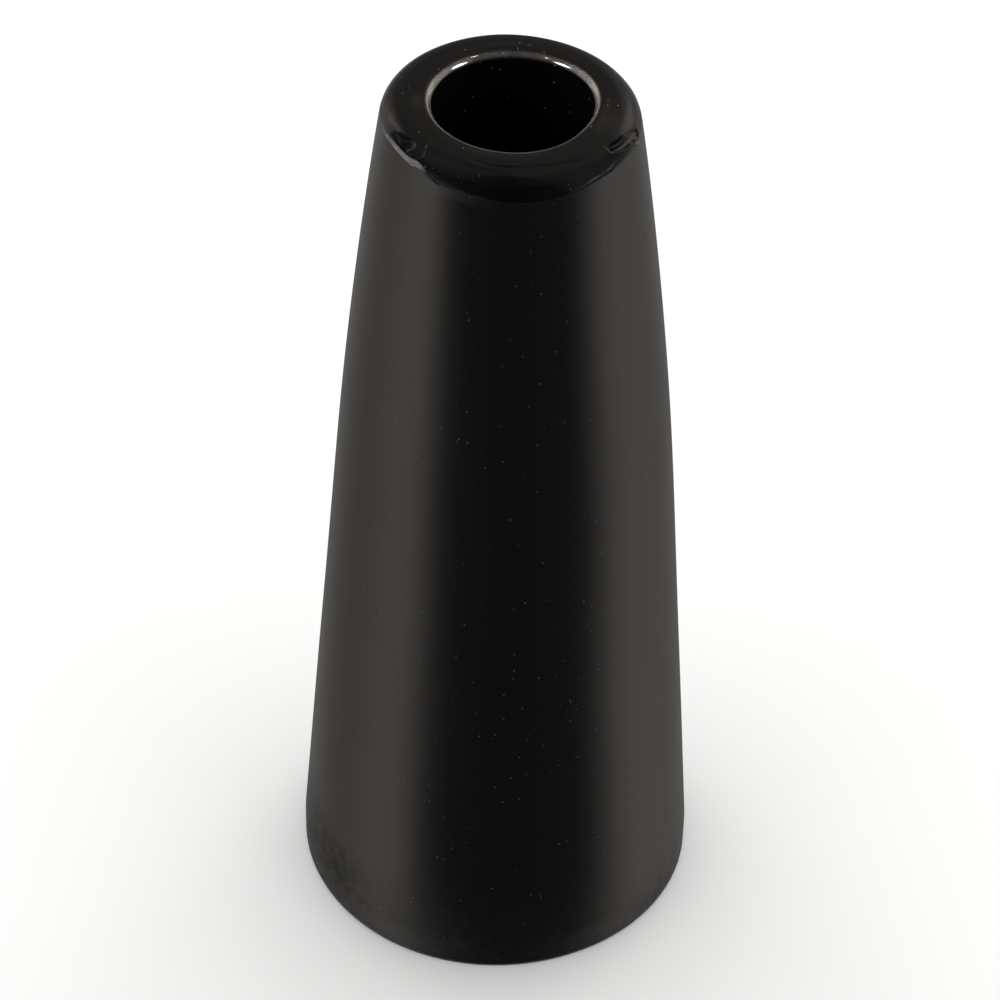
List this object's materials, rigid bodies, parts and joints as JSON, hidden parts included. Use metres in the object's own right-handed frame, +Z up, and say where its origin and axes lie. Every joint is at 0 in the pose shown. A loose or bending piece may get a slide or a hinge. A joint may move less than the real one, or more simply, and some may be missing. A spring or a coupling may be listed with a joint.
{
  "type": "clay shaping cone",
  "caption": "Tapered hollow cone in a satin rubber jacket, with a rounded glossy mouth and a straight bore, for shaping clay over it or on a rod.",
  "frame": {"origin": "centre of the flat foot, on the axis of the bore", "axes": "+Z up the axis, from the wide foot to the narrow mouth; the part is round about Z"},
  "size_m": [0.033, 0.033, 0.077],
  "materials": {
    "gloss_core": "gloss black moulded, smooth",
    "satin_jacket": "satin black rubber, sanded at the foot"
  },
  "bodies": {
    "root": {"core_tube": "gloss_core", "rubber_jacket": "satin_jacket"}
  },
  "joints": []
}
